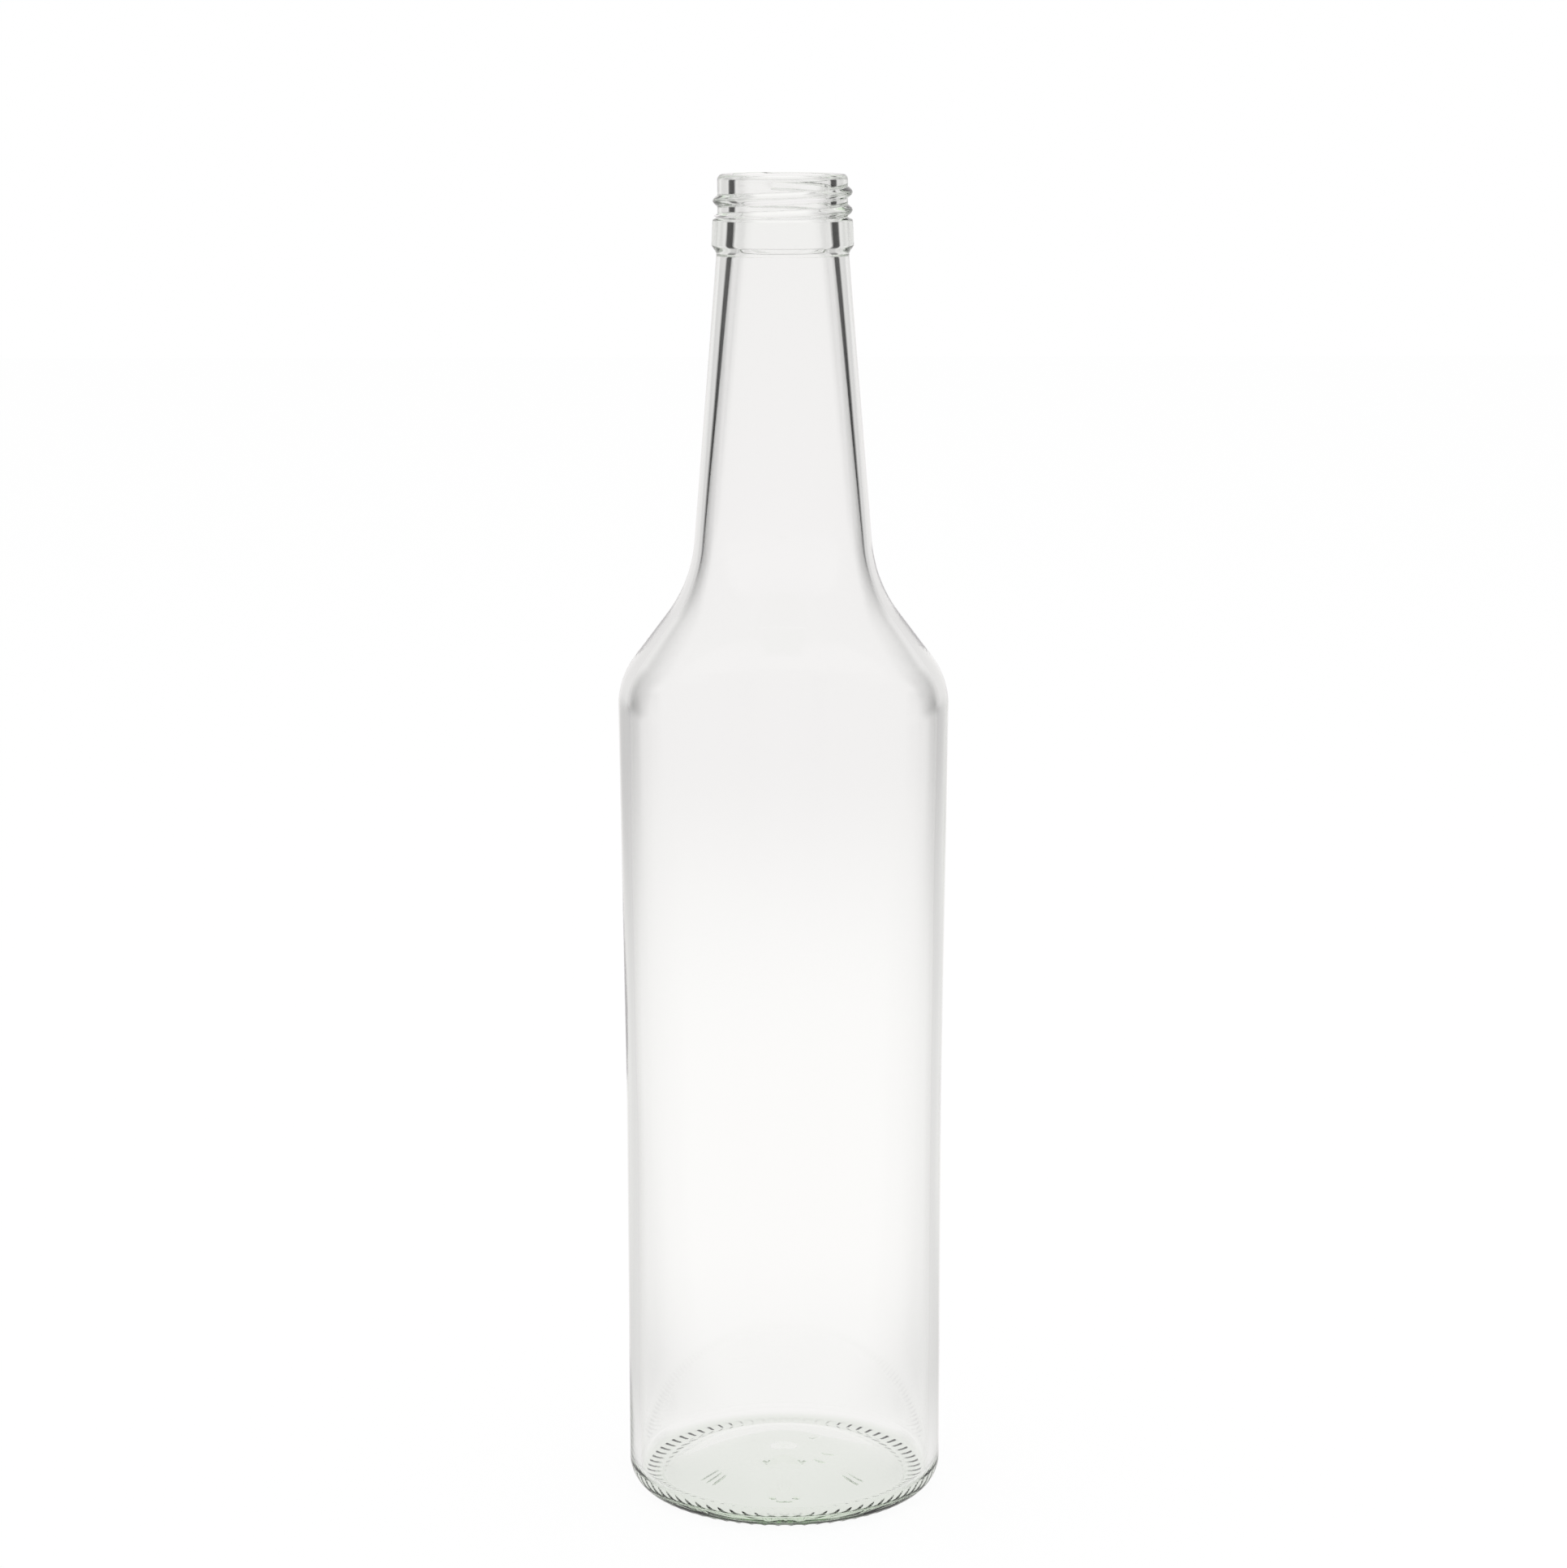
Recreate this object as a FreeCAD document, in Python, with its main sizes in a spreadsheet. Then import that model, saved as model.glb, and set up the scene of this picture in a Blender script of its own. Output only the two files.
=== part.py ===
"""Empty clear glass bottle with a straight neck and a screw finish.

One piece of glass, so one solid: a revolved outer form with rounded edges, the cavity from
the base to the mouth, a single start screw thread on the finish, a base pushed up into a
low crown, a ring of grooves that roughens the foot, a low wedge shaped lug on the shoulder
and two small pips under the base.

Frame: millimetres, +Z up along the bottle's axis, origin at the centre of the foot, on the
surface that the bottle stands on. The lug faces -Y.
"""
import FreeCAD, Part

import os

import Sketcher

BODY_NAME = "glass_bottle"

# Driving dimensions: alias, value (mm or degrees), what it is.
DIMENSIONS = [
    ("body_diameter", 64.4, "straight lower body, outside"),
    ("body_widening", 2.1, "how much wider the body is at the shoulder corner"),
    ("straight_height", 83.5, "foot to where the body starts to widen"),
    ("body_height", 168.8, "foot to the corner of the body and shoulder lines"),
    ("shoulder_radius", 15.8, "rounding between the body and the shoulder"),
    ("shoulder_rise", 19.7, "height of the sloping shoulder, corner to corner"),
    ("neck_root_diameter", 36.8, "corner of the shoulder and neck lines"),
    ("neck_root_radius", 28.0, "hollow rounding between the shoulder and the neck"),
    ("neck_length", 65.2, "shoulder corner to the top of the tapered neck"),
    ("finish_diameter", 25.7, "wall of the finish between the threads"),
    ("finish_height", 8.45, "collar ledge to the lip"),
    ("finish_wall", 3.3, "glass between the finish's wall and the straight bore"),
    ("neck_top_margin", 0.2, "how far the neck's thin end stands out of the finish"),
    ("collar_undercut", 1.4, "height of the slope under the locking collar"),
    ("collar_low_margin", 1.2, "how far the collar's lower edge stands out"),
    ("collar_high_margin", 0.95, "how far the collar's upper edge stands out"),
    ("collar_height", 5.05, "height of the collar's wall"),
    ("collar_ledge", 0.4, "height of the slope on top of the collar"),
    ("edge_radius", 0.35, "rounding of the collar's edges"),
    ("lip_outer_radius", 1.1, "rounding outside the lip"),
    ("lip_inner_radius", 0.7, "rounding inside the lip"),
    ("bore_length", 9.9, "lip to where the bore starts to widen"),
    ("body_wall", 2.2, "glass in the wall of the body"),
    ("neck_root_wall", 1.8, "glass at the foot of the neck"),
    ("heel_radius", 5.2, "rounding between the body and the foot"),
    ("heel_inner_radius", 3.2, "rounding inside, between the wall and the base"),
    ("foot_width", 2.45, "width of the ring that the bottle stands on"),
    ("foot_thickness", 2.8, "glass above that ring"),
    ("push_up", 4.0, "height of the underside's middle above the foot"),
    ("crown_diameter", 28.0, "edge of the base's raised crown, underneath"),
    ("crown_fall", 0.5, "fall of the underside from its middle to the crown's edge"),
    ("crown_rounding", 40.0, "rounding of the crown's edge, underneath"),
    ("base_thickness", 3.9, "glass in the middle of the base"),
    ("crown_inner_margin", 0.8, "how much further out the slope lies inside"),
    ("crown_inner_fall", 1.4, "fall of the inside from its middle to the crown's edge"),
    ("crown_inner_rounding", 40.0, "rounding of the crown's edge, inside"),
    ("valley_radius", 4.0, "hollow rounding inside, at the foot of the crown's slope"),
    ("knurl_spacing", 2.25, "between grooves, at the inner edge of the foot"),
    ("knurl_depth", 0.45, "depth of each groove"),
    ("knurl_radius", 1.0, "radius of each groove's round bottom"),
    ("thread_height", 0.9, "how far the thread stands out of the finish"),
    ("thread_width", 1.9, "width of the thread's round ridge"),
    ("thread_pitch", 3.5, "rise in one turn"),
    ("thread_turns", 1.75, "number of turns"),
    ("thread_start_angle", 180.0, "where the low end lies, counted from +X"),
    ("thread_start_height", 0.3, "low end of the thread above the collar's ledge"),
    ("lug_angle", 17.5, "angle that the shoulder lug spans"),
    ("lug_from_corner", 5.6, "shoulder and neck corner down to the lug's ledge"),
    ("lug_length", 5.0, "upright height of the lug"),
    ("lug_height", 0.45, "how far the lug's ledge stands out of the shoulder"),
    ("lug_root", 0.5, "how deep the lug's back is sunk in the glass"),
    ("pip_spacing", 7.0, "between the two pips under the base"),
    ("pip_offset", 6.0, "from the axis to the line through both pips"),
    ("pip_diameter", 1.6, "each pip, where it meets the base"),
    ("pip_height", 0.35, "how far each pip stands out of the base"),
    ("tool_clearance", 5.0, "how far the cavity's tool runs past the lip"),
]

ORIGIN = "0"
"""The expression for a place on the axis or on the foot's level."""


def size(alias):
    """The expression that reads one driving dimension."""
    return f"dims.{alias}"


# Radii, heights and angles that several features share, worked out from the dimensions.
BODY_R = f"({size('body_diameter')} / 2)"
SHOULDER_R = f"({BODY_R} + {size('body_widening')} / 2)"
NECK_ROOT_R = f"({size('neck_root_diameter')} / 2)"
FINISH_R = f"({size('finish_diameter')} / 2)"
NECK_TOP_R = f"({FINISH_R} + {size('neck_top_margin')})"
BORE_R = f"({FINISH_R} - {size('finish_wall')})"
FOOT_INNER_R = f"({BODY_R} - {size('heel_radius')} - {size('foot_width')})"
CROWN_R = f"({size('crown_diameter')} / 2)"
CROWN_Z = f"({size('push_up')} - {size('crown_fall')})"
KNURL_START_R = f"({FOOT_INNER_R} - {size('knurl_radius')})"
NECK_ROOT_Z = f"({size('body_height')} + {size('shoulder_rise')})"
NECK_TOP_Z = f"({NECK_ROOT_Z} + {size('neck_length')})"
COLLAR_LOW_Z = f"({NECK_TOP_Z} + {size('collar_undercut')})"
COLLAR_HIGH_Z = f"({COLLAR_LOW_Z} + {size('collar_height')})"
FINISH_Z = f"({COLLAR_HIGH_Z} + {size('collar_ledge')})"
LIP_Z = f"({FINISH_Z} + {size('finish_height')})"
BORE_END_Z = f"({LIP_Z} - {size('bore_length')})"
SHOULDER_SLOPE = f"(({SHOULDER_R} - {NECK_ROOT_R}) / {size('shoulder_rise')})"
SHOULDER_LEAN = f"atan({SHOULDER_SLOPE})"
NECK_LEAN = f"atan(({NECK_ROOT_R} - {NECK_TOP_R}) / {size('neck_length')})"


def domed_radius(rise, width):
    """The radius of a round ridge or pip from its rise and its width at the foot."""
    half_width = f"({width} / 2)"
    return f"(({rise} * {rise} + {half_width} * {half_width}) / (2 * {rise}))"


def make_sheet(doc):
    """Put every driving dimension in a spreadsheet cell with an alias."""
    sheet = doc.addObject("Spreadsheet::Sheet", "dims")
    for row, (alias, value, meaning) in enumerate(DIMENSIONS, start=1):
        sheet.set(f"A{row}", alias)
        sheet.set(f"B{row}", str(value))
        sheet.set(f"C{row}", meaning)
        sheet.setAlias(f"B{row}", alias)
    doc.recompute()
    return sheet


def value_of(sheet, expression):
    """The number that an expression gives in the sheet's document."""
    return float(sheet.evalExpression(expression))


def origin_feature(body, role):
    """A plane or axis of the body's own origin."""
    return next(item for item in body.Origin.OriginFeatures if item.Role == role)


def new_sketch(body, name, role="XZ_Plane"):
    """A sketch on one of the body's own origin planes."""
    sketch = body.newObject("Sketcher::SketchObject", name)
    sketch.AttachmentSupport = (origin_feature(body, role), [""])
    sketch.MapMode = "FlatFace"
    return sketch


def turned_sketch(body, name, angle):
    """A sketch on the XZ plane, turned about the bottle's axis by an expression."""
    sketch = new_sketch(body, name)
    about_axis = FreeCAD.Rotation(FreeCAD.Vector(0, 1, 0), 1)
    sketch.AttachmentOffset = FreeCAD.Placement(FreeCAD.Vector(), about_axis)
    sketch.setExpression(".AttachmentOffset.Rotation.Angle", angle)
    return sketch


def bind_point(sketch, sheet, edge, end, across, up):
    """Hold one point of an edge at expressions for its distances from the origin."""
    for kind, axis, expression in (("DistanceX", -2, across), ("DistanceY", -1, up)):
        if expression == ORIGIN:
            sketch.addConstraint(Sketcher.Constraint("PointOnObject", edge, end, axis))
            continue
        distance = value_of(sheet, expression)
        constraint = Sketcher.Constraint(kind, -1, 1, edge, end, distance)
        index = sketch.addConstraint(constraint)
        sketch.setExpression(f"Constraints[{index}]", expression)


def draw_outline(sketch, sheet, corners):
    """Draw a closed outline with straight edges through corners, pairs of expressions."""
    places = [FreeCAD.Vector(*(value_of(sheet, part) for part in corner)) for corner in corners]
    followers = places[1:] + places[:1]
    for begin, end in zip(places, followers):
        sketch.addGeometry(Part.LineSegment(begin, end), False)
    for edge, (across, up) in enumerate(corners):
        follower = (edge + 1) % len(corners)
        sketch.addConstraint(Sketcher.Constraint("Coincident", edge, 2, follower, 1))
        bind_point(sketch, sheet, edge, 1, across, up)


def draw_circle(sketch, sheet, across, up, radius):
    """Draw a circle whose centre and radius are expressions."""
    centre = FreeCAD.Vector(value_of(sheet, across), value_of(sheet, up), 0)
    upright = FreeCAD.Vector(0, 0, 1)
    sketch.addGeometry(Part.Circle(centre, upright, value_of(sheet, radius)), False)
    bind_point(sketch, sheet, 0, 3, across, up)
    constraint = Sketcher.Constraint("Radius", 0, value_of(sheet, radius))
    index = sketch.addConstraint(constraint)
    sketch.setExpression(f"Constraints[{index}]", radius)


def turn_about_axis(body, kind, name, sketch):
    """Revolve or groove a sketch by a full turn about the bottle's axis."""
    feature = body.newObject(kind, name)
    feature.Profile = sketch
    feature.ReferenceAxis = (sketch, ["V_Axis"])
    feature.Angle = 360.0
    body.Document.recompute()
    return feature


def round_rings(body, sheet, name, corners, radius):
    """Round the circular edges that lie at the given corners of a turned outline."""
    base = body.Tip
    found = []
    for across, up in corners:
        place = value_of(sheet, across), value_of(sheet, up)
        for index, edge in enumerate(base.Shape.Edges, start=1):
            if edge.Degenerated or not isinstance(edge.Curve, Part.Circle):
                continue
            ring = edge.Curve.Radius, edge.Curve.Center.z
            if max(abs(ring[0] - place[0]), abs(ring[1] - place[1])) < 1e-4:
                found.append(f"Edge{index}")
    if len(found) != len(corners):
        raise RuntimeError(f"{name}: {len(found)} edges for {len(corners)} corners")
    fillet = body.newObject("PartDesign::Fillet", name)
    fillet.Base = (base, found)
    fillet.setExpression("Radius", radius)
    body.Document.recompute()


def make_outer_form(body, sheet):
    """Revolve the outside of the bottle and round its edges."""
    heel = (BODY_R, ORIGIN)
    crown = (CROWN_R, CROWN_Z)
    shoulder = (SHOULDER_R, size("body_height"))
    neck_root = (NECK_ROOT_R, NECK_ROOT_Z)
    neck_top = (NECK_TOP_R, NECK_TOP_Z)
    collar_low = (f"({FINISH_R} + {size('collar_low_margin')})", COLLAR_LOW_Z)
    collar_high = (f"({FINISH_R} + {size('collar_high_margin')})", COLLAR_HIGH_Z)
    lip = (FINISH_R, LIP_Z)
    corners = [
        (ORIGIN, size("push_up")),
        crown,
        (FOOT_INNER_R, ORIGIN),
        heel,
        (BODY_R, size("straight_height")),
        shoulder,
        neck_root,
        neck_top,
        collar_low,
        collar_high,
        (FINISH_R, FINISH_Z),
        lip,
        (ORIGIN, LIP_Z),
    ]
    sketch = new_sketch(body, "outer_section")
    draw_outline(sketch, sheet, corners)
    turn_about_axis(body, "PartDesign::Revolution", "outer_form", sketch)
    round_rings(body, sheet, "crown_edge", [crown], size("crown_rounding"))
    round_rings(body, sheet, "heel_rounding", [heel], size("heel_radius"))
    round_rings(body, sheet, "shoulder_rounding", [shoulder], size("shoulder_radius"))
    round_rings(body, sheet, "neck_root_rounding", [neck_root], size("neck_root_radius"))
    collar_edges = [neck_top, collar_low, collar_high]
    round_rings(body, sheet, "collar_rounding", collar_edges, size("edge_radius"))
    round_rings(body, sheet, "lip_rounding", [lip], size("lip_outer_radius"))


def make_cavity(body, sheet):
    """Turn the free space out of the glass, from the base to past the lip.

    The inner corners lie where lines parallel to the outside meet, one wall further in.
    """
    wall = size("body_wall")
    inner_body_r = f"({BODY_R} - {wall})"
    base_z = f"({size('push_up')} + {size('base_thickness')})"
    shoulder_z = f"({size('body_height')} - {wall} * tan({SHOULDER_LEAN} / 2))"
    mean_lean = f"(({SHOULDER_LEAN} + {NECK_LEAN}) / 2)"
    half_turn = f"(({SHOULDER_LEAN} - {NECK_LEAN}) / 2)"
    mitre = f"({size('neck_root_wall')} / cos({half_turn}))"
    past_lip = f"({LIP_Z} + {size('tool_clearance')})"
    heel = (inner_body_r, size("foot_thickness"))
    valley = (f"({FOOT_INNER_R} + {size('crown_inner_margin')})", size("foot_thickness"))
    crown = (
        f"({CROWN_R} + {size('crown_inner_margin')})",
        f"({base_z} - {size('crown_inner_fall')})",
    )
    shoulder = (f"({SHOULDER_R} - {wall})", shoulder_z)
    neck_root = (
        f"({NECK_ROOT_R} - {mitre} * cos({mean_lean}))",
        f"({NECK_ROOT_Z} - {mitre} * sin({mean_lean}))",
    )
    corners = [
        (ORIGIN, base_z),
        crown,
        valley,
        heel,
        (inner_body_r, size("straight_height")),
        shoulder,
        neck_root,
        (BORE_R, BORE_END_Z),
        (BORE_R, past_lip),
        (ORIGIN, past_lip),
    ]
    solid_volume = body.Shape.Volume
    sketch = new_sketch(body, "cavity_section")
    draw_outline(sketch, sheet, corners)
    cavity = turn_about_axis(body, "PartDesign::Groove", "cavity", sketch)
    if cavity.Shape.Volume > solid_volume / 2:
        raise RuntimeError("the cavity leaves more than half of the glass")
    inner_shoulder = f"({size('shoulder_radius')} - {wall})"
    inner_root = f"({size('neck_root_radius')} + {size('neck_root_wall')})"
    round_rings(body, sheet, "inner_crown_edge", [crown], size("crown_inner_rounding"))
    round_rings(body, sheet, "inner_valley", [valley], size("valley_radius"))
    round_rings(body, sheet, "inner_heel_rounding", [heel], size("heel_inner_radius"))
    round_rings(body, sheet, "inner_shoulder_rounding", [shoulder], inner_shoulder)
    round_rings(body, sheet, "inner_neck_rounding", [neck_root], inner_root)
    mouth = (BORE_R, LIP_Z)
    round_rings(body, sheet, "mouth_rounding", [mouth], size("lip_inner_radius"))


def make_pips(body):
    """Set two low round pips under the middle of the base."""
    rise = size("pip_height")
    ball = domed_radius(rise, size("pip_diameter"))
    from_axis = f"({size('pip_spacing')} / 2)"
    away = f"sqrt({from_axis} * {from_axis} + {size('pip_offset')} * {size('pip_offset')})"
    fall = f"({size('crown_fall')} * {away} / {CROWN_R})"
    for name, sign in (("pip_left", "-1"), ("pip_right", "1")):
        pip = body.newObject("PartDesign::AdditiveSphere", name)
        pip.AttachmentSupport = (origin_feature(body, "XY_Plane"), [""])
        pip.MapMode = "FlatFace"
        pip.setExpression("Radius", ball)
        pip.setExpression(".AttachmentOffset.Base.x", f"{sign} * {from_axis}")
        pip.setExpression(".AttachmentOffset.Base.y", f"-1 * {size('pip_offset')}")
        level = f"{size('push_up')} - {fall} - {rise} + {ball}"
        pip.setExpression(".AttachmentOffset.Base.z", level)
        body.Document.recompute()


def make_shoulder_lug(body, sheet):
    """Turn a thin wedge through a small angle, to stand on the front of the shoulder."""
    top_z = f"({NECK_ROOT_Z} - {size('lug_from_corner')})"
    top_r = f"({NECK_ROOT_R} + {size('lug_from_corner')} * {SHOULDER_SLOPE})"
    low_z = f"({top_z} - {size('lug_length')})"
    low_r = f"({top_r} + {size('lug_length')} * {SHOULDER_SLOPE})"
    sink_r = f"({size('lug_root')} * cos({SHOULDER_LEAN}))"
    sink_z = f"({size('lug_root')} * sin({SHOULDER_LEAN}))"
    ledge_r = f"({size('lug_height')} * cos({SHOULDER_LEAN}))"
    ledge_z = f"({size('lug_height')} * sin({SHOULDER_LEAN}))"
    corners = [
        (f"({top_r} - {sink_r})", f"({top_z} - {sink_z})"),
        (f"({low_r} - {sink_r})", f"({low_z} - {sink_z})"),
        (low_r, low_z),
        (f"({top_r} + {ledge_r})", f"({top_z} + {ledge_z})"),
    ]
    sketch = turned_sketch(body, "lug_section", "-90")
    draw_outline(sketch, sheet, corners)
    lug = body.newObject("PartDesign::Revolution", "shoulder_lug")
    lug.Profile = sketch
    lug.ReferenceAxis = (sketch, ["V_Axis"])
    lug.Midplane = True
    lug.setExpression("Angle", size("lug_angle"))
    body.Document.recompute()


def make_thread(body, sheet):
    """Wind the round ridge of the right hand thread about the finish."""
    ridge = domed_radius(size("thread_height"), size("thread_width"))
    centre_r = f"({FINISH_R} + {size('thread_height')} - {ridge})"
    centre_z = f"({FINISH_Z} + {size('thread_start_height')})"
    sketch = turned_sketch(body, "thread_section", size("thread_start_angle"))
    draw_circle(sketch, sheet, centre_r, centre_z, ridge)
    thread = body.newObject("PartDesign::AdditiveHelix", "thread")
    thread.Profile = sketch
    thread.ReferenceAxis = (sketch, ["V_Axis"])
    thread.Mode = "pitch-turns-angle"
    thread.setExpression("Pitch", size("thread_pitch"))
    thread.setExpression("Turns", size("thread_turns"))
    thread.Angle = 0
    thread.LeftHanded = False
    body.Document.recompute()


def make_knurl(body, sheet):
    """Cut one round bottomed groove across the foot and repeat it all the way round.

    The grooves start on the crown's slope, clear of the middle, where they would run together.
    """
    uncut_volume = body.Shape.Volume
    centre_z = f"({size('knurl_depth')} - {size('knurl_radius')})"
    sketch = new_sketch(body, "knurl_section", "YZ_Plane")
    sketch.setExpression(".AttachmentOffset.Base.z", KNURL_START_R)
    draw_circle(sketch, sheet, ORIGIN, centre_z, size("knurl_radius"))
    groove = body.newObject("PartDesign::Pocket", "knurl_groove")
    groove.Profile = sketch
    groove.Reversed = True
    groove.setExpression("Length", f"{BODY_R} - {KNURL_START_R}")
    body.Document.recompute()
    if not groove.Shape.Volume < uncut_volume - size_of_a_cut(sheet):
        raise RuntimeError("the foot's groove cuts nothing")
    knurl = body.newObject("PartDesign::PolarPattern", "knurl")
    knurl.Originals = [groove]
    knurl.Axis = (origin_feature(body, "Z_Axis"), [""])
    knurl.Angle = 360.0
    count = f"round(2 * pi * {FOOT_INNER_R} / {size('knurl_spacing')})"
    knurl.setExpression("Occurrences", count)
    body.Tip = knurl
    body.Document.recompute()


def size_of_a_cut(sheet):
    """The least volume, in cubic mm, that one groove takes out of the foot."""
    cut = f"{size('knurl_depth')} * {size('knurl_radius')} * {size('foot_width')} / 2"
    return value_of(sheet, cut)


def check(doc, body):
    """Stop if a feature failed or the bottle isn't one valid solid."""
    for item in doc.Objects:
        if "Invalid" in item.State or "Error" in item.State:
            raise RuntimeError(f"{item.Name} failed: {item.State}")
    if body.Shape.isNull() or not body.Shape.isValid():
        raise RuntimeError(f"{body.Label} has no valid shape")
    if len(body.Shape.Solids) != 1:
        raise RuntimeError(f"{body.Label} is {len(body.Shape.Solids)} solids")


def main():
    """Build the bottle, check it and write its solid."""
    doc = FreeCAD.newDocument("bottle")
    sheet = make_sheet(doc)
    body = doc.addObject("PartDesign::Body", BODY_NAME)
    body.Label = BODY_NAME
    body.Placement = FreeCAD.Placement()
    doc.recompute()
    make_outer_form(body, sheet)
    make_cavity(body, sheet)
    make_pips(body)
    make_shoulder_lug(body, sheet)
    make_thread(body, sheet)
    make_knurl(body, sheet)
    check(doc, body)
    os.makedirs("parts", exist_ok=True)
    body.Shape.exportStep(f"parts/{body.Label}.step")
    print(f"{body.Label}: {body.Shape.Volume:.1f} cubic mm, {len(body.Shape.Faces)} faces")


main()
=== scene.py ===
"""Empty clear glass bottle, dressed for its picture.

The bottle is one piece of glass. Its wall is turned by a Geometry Nodes tree from one
outline, outside and inside in one line, and the same tree raises the thread, the shoulder
lug and the moulded marks, and presses the ribs into the foot. A white floor, a pale glowing
table with a painted shadow under the foot and a pale dome, both of which only the glass sees,
one soft lamp and the camera complete the studio.

Lengths are metres, +Z is up the bottle's axis and the origin is the centre of its foot.
"""

import logging
import math
from dataclasses import dataclass, field
from enum import Enum

import bmesh
import bpy
from mathutils import Euler, Matrix, Vector

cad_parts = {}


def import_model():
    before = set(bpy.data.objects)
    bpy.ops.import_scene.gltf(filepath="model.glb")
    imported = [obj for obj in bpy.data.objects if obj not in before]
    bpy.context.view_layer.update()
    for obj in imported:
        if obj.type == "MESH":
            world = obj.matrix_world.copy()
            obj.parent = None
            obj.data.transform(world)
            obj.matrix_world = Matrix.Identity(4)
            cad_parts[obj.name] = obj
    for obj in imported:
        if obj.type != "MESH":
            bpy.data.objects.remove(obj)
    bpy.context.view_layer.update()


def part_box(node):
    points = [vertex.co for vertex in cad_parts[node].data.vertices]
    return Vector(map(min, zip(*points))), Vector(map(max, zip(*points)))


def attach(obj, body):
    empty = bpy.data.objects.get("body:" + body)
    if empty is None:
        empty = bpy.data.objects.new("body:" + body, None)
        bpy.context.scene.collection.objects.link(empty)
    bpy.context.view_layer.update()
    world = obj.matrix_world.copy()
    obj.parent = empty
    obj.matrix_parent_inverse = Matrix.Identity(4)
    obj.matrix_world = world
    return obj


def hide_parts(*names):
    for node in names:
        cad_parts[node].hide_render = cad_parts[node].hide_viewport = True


LOG = logging.getLogger("bottle")
MM = 0.001
BODY = "root"
NODE = "glass_bottle"
WELD_DISTANCE = 0.002 * MM
BOTTOM = -math.pi / 2
"""The direction of -Y, which the front of the bottle faces, as an angle about the axis."""

GLASS_BOUNCES = 24
"""How often a ray may turn, enough for light that runs along inside the thin base."""

Place = tuple[float, float]


class Side(Enum):
    """Which face of the glass a stretch of the outline lies on."""

    OUTSIDE = 0
    INSIDE = 1


class MarkShape(Enum):
    """The kinds of small moulded marks under the base."""

    DOT = "dot"
    BAR = "bar"


# ---------------------------------------------------------------- node tree helper


class Tree:
    """A node tree under construction, with short calls for what it uses most."""

    def __init__(self, tree: bpy.types.NodeTree) -> None:
        """Keep the tree that the nodes go into."""
        self.tree = tree

    def node(self, kind: str, **settings: object) -> bpy.types.Node:
        """Add a node and set its properties.

        Args:
            kind: the node's type name.
            settings: the properties to set on it.

        Returns:
            The new node.
        """
        node = self.tree.nodes.new(kind)
        for name, value in settings.items():
            setattr(node, name, value)
        return node

    def plug(self, value: object, socket: bpy.types.NodeSocket) -> None:
        """Link a socket to an input, or set the input to a plain value."""
        if isinstance(value, bpy.types.NodeSocket):
            self.tree.links.new(value, socket)
        elif value is not None:
            socket.default_value = value

    def math(self, operation: str, *values: object, clamp: bool = False) -> bpy.types.NodeSocket:
        """Join values with one Math node and return its result."""
        node = self.node("ShaderNodeMath", operation=operation, use_clamp=clamp)
        for index, value in enumerate(values):
            self.plug(value, node.inputs[index])
        return node.outputs[0]

    def product(self, first: object, *others: object) -> bpy.types.NodeSocket:
        """Return the product of values, multiplied in their order."""
        for other in others:
            first = self.math("MULTIPLY", first, other)
        return first

    def ramp(self, value: object, low: object, high: object) -> bpy.types.NodeSocket:
        """Return 0 below low and 1 above high, with a smooth rise between them."""
        node = self.node("ShaderNodeMapRange", interpolation_type="SMOOTHSTEP")
        self.plug(value, node.inputs["Value"])
        self.plug(low, node.inputs["From Min"])
        self.plug(high, node.inputs["From Max"])
        return node.outputs["Result"]

    def window(self, value: object, low: float, high: float, soft: float) -> bpy.types.NodeSocket:
        """Return 1 between low and high and 0 outside, with soft edges."""
        rise = self.ramp(value, low - soft, low + soft)
        fall = self.ramp(value, high - soft, high + soft)
        return self.math("SUBTRACT", rise, fall)

    def split(self, vector: bpy.types.NodeSocket) -> list[bpy.types.NodeSocket]:
        """Return the three parts of a vector."""
        node = self.node("ShaderNodeSeparateXYZ")
        self.plug(vector, node.inputs[0])
        return list(node.outputs)

    def join(self, across: object, along: object, up: object) -> bpy.types.NodeSocket:
        """Return a vector made of three parts."""
        node = self.node("ShaderNodeCombineXYZ")
        for value, socket in zip((across, along, up), node.inputs):
            self.plug(value, socket)
        return node.outputs[0]

    def scale(self, vector: bpy.types.NodeSocket, factor: object) -> bpy.types.NodeSocket:
        """Return a vector times a number."""
        node = self.node("ShaderNodeVectorMath", operation="SCALE")
        self.plug(vector, node.inputs[0])
        self.plug(factor, node.inputs["Scale"])
        return node.outputs[0]


    def mix(self, share: object, first: bpy.types.Node, second: bpy.types.Node) -> bpy.types.Node:
        """Mix two shaders, with the share that the second one has."""
        node = self.node("ShaderNodeMixShader")
        for value, socket in zip((share, first.outputs[0], second.outputs[0]), node.inputs):
            self.plug(value, socket)
        return node

    def show(self, surface: bpy.types.Node, volume: bpy.types.Node | None = None) -> None:
        """Give the material its surface, and its volume if it has one."""
        output = self.node("ShaderNodeOutputMaterial")
        self.plug(surface.outputs[0], output.inputs["Surface"])
        if volume:
            self.plug(volume.outputs[0], output.inputs["Volume"])


def empty_material(name: str) -> tuple[bpy.types.Material, Tree]:
    """A new material and its node tree, still empty."""
    material = bpy.data.materials.new(name)
    material.use_nodes = True
    material.node_tree.nodes.clear()
    return material, Tree(material.node_tree)


# ---------------------------------------------------------------- finishes


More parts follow.
